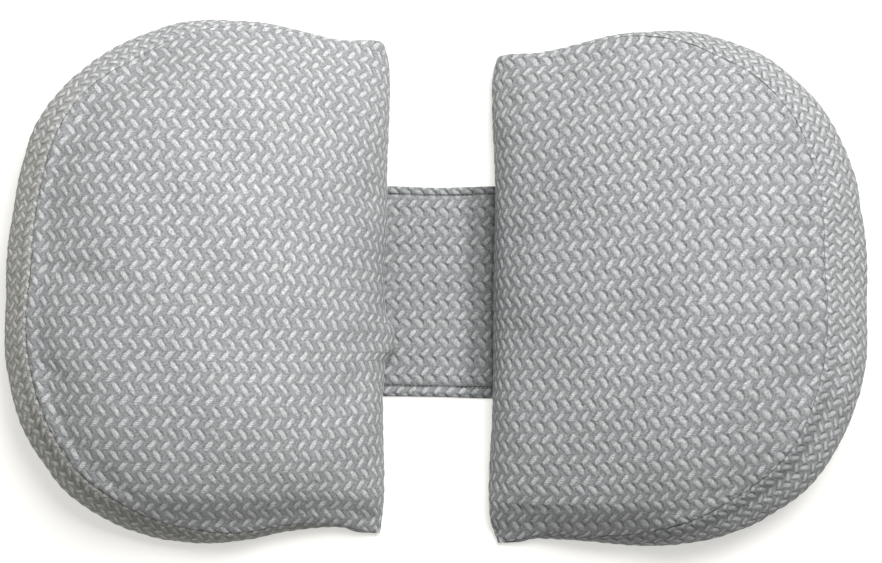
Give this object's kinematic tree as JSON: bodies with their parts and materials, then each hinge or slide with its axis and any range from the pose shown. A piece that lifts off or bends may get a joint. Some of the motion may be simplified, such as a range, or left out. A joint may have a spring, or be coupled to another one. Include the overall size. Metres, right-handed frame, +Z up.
{
  "type": "side-sleeper body pillow with two wedge cushions and a bridge strap",
  "caption": "Soft grey jacquard body pillow: a pair of D-shaped wedge cushions, straight edges facing, joined underneath by a flat topstitched strap that a sleeper lies across.",
  "frame": {"origin": "centre of the bounding box at the surface the pillow lies on", "axes": "+X across the pair, from the left cushion to the right one; +Y along the straight inner edges, away from the viewer; +Z up"},
  "size_m": [0.6665, 0.4106, 0.1041],
  "materials": {
    "cushion_cloth": "raised light-grey herringbone jacquard on mid-grey melange ground, matt",
    "strap_cloth": "same jacquard, two layers, topstitched along both long edges, matt"
  },
  "bodies": {
    "root": {"left_cushion": "cushion_cloth", "right_cushion": "cushion_cloth", "bridge_strap": "strap_cloth"}
  },
  "joints": []
}
